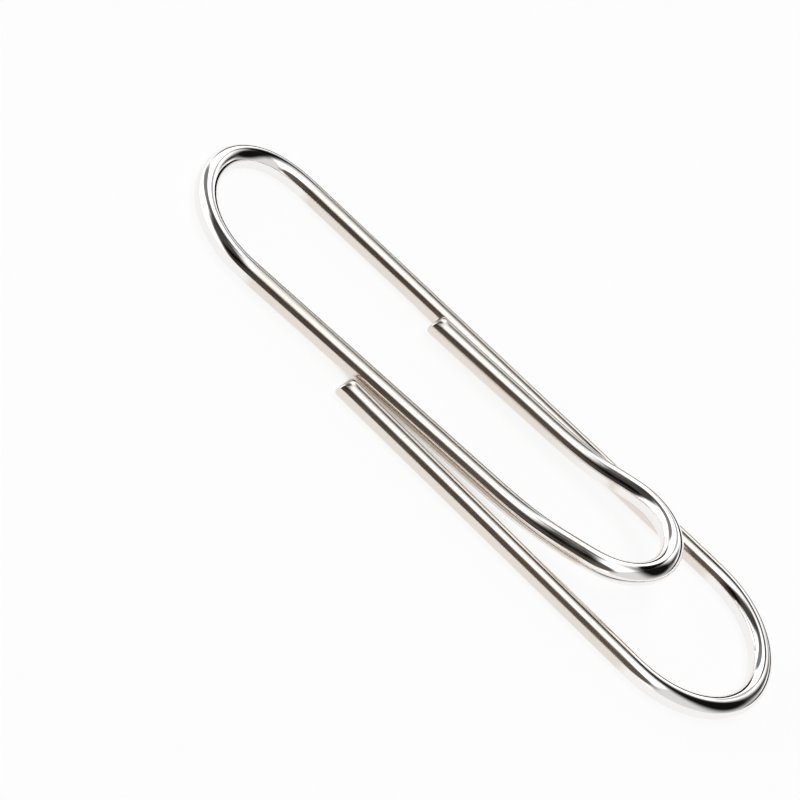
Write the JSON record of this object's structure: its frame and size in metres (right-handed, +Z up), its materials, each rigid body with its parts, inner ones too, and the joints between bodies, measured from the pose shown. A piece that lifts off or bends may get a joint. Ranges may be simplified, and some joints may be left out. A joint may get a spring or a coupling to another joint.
{
  "type": "paper clip",
  "caption": "Polished bent-wire paper clip: an outer loop and a springy inner tongue, with a raised lip at the tongue's tip so that sheets slide in between the two loops.",
  "frame": {"origin": "middle of the clip's length and width, on the surface it lies on", "axes": "+X along the clip from the end bend to the outer bend, +Y towards the long leg, +Z up, the side that the lip is raised to"},
  "size_m": [0.033, 0.0096, 0.0029],
  "materials": {
    "nickel_wire": "bright nickel plate on drawn steel wire"
  },
  "bodies": {
    "outer_loop": {"outer_loop": "nickel_wire"},
    "inner_loop": {"inner_loop": "nickel_wire"}
  },
  "joints": [
    {"name": "tongue_lift", "type": "hinge", "parent": "outer_loop", "child": "inner_loop", "pos_m": [-0.016, 0.00166, 0.0005], "axis": [0, -1, 0], "range_deg": [-1.4, 8], "stiffness_Nm_per_rad": 0.31, "springref_deg": -1.4}
  ]
}
